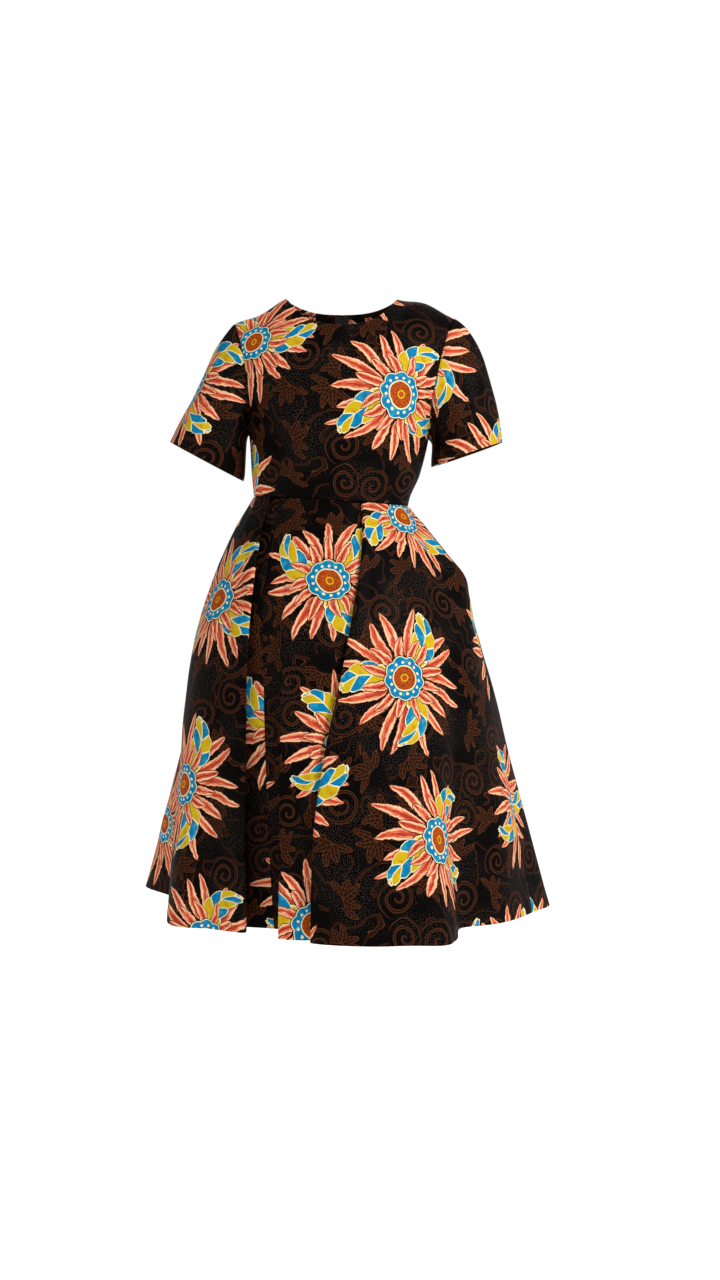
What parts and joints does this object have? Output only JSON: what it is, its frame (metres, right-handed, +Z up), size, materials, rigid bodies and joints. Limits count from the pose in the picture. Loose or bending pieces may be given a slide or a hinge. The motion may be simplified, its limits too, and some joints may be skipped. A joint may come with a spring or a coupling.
{
  "type": "ankara wax print dress",
  "caption": "Knee-length wax print dress as worn: round neck, fitted bodice, short sleeves, pleated flared skirt with side pocket, back zip.",
  "frame": {"origin": "middle of the neck opening, level with the two points where the shoulder seams reach the neckline, where the wearer's shoulders and neck hold the dress", "axes": "+X towards the wearer's left, +Y towards the wearer's back, +Z up, so the dress faces -Y"},
  "size_m": [0.7188, 0.6193, 1.0524],
  "materials": {
    "printed_cotton": "plain-weave cotton, wax printed in coral, cream, blue, yellow and brown on near black, faint sheen",
    "zip_strip": "black woven polyester tape with closed coil",
    "painted_zinc": "black enamel on die-cast zinc, semi-gloss"
  },
  "bodies": {
    "dress": {"bodice_front": "printed_cotton", "bodice_back_left": "printed_cotton", "bodice_back_right": "printed_cotton", "sleeve_left": "printed_cotton", "sleeve_right": "printed_cotton", "skirt_front_right": "printed_cotton", "skirt_front_middle": "printed_cotton", "skirt_front_left": "printed_cotton", "skirt_back_left": "printed_cotton", "skirt_back_right": "printed_cotton", "pocket_bag": "printed_cotton", "zip_tape": "zip_strip", "zip_slider": "painted_zinc"},
    "zip_tab": {"zip_pull": "painted_zinc"}
  },
  "joints": [
    {"name": "zip_pull_hinge", "type": "hinge", "parent": "dress", "child": "zip_tab", "pos_m": [0, 0.06587, -0.03267], "axis": [1, 0, 0], "range_deg": [0, 150]}
  ]
}
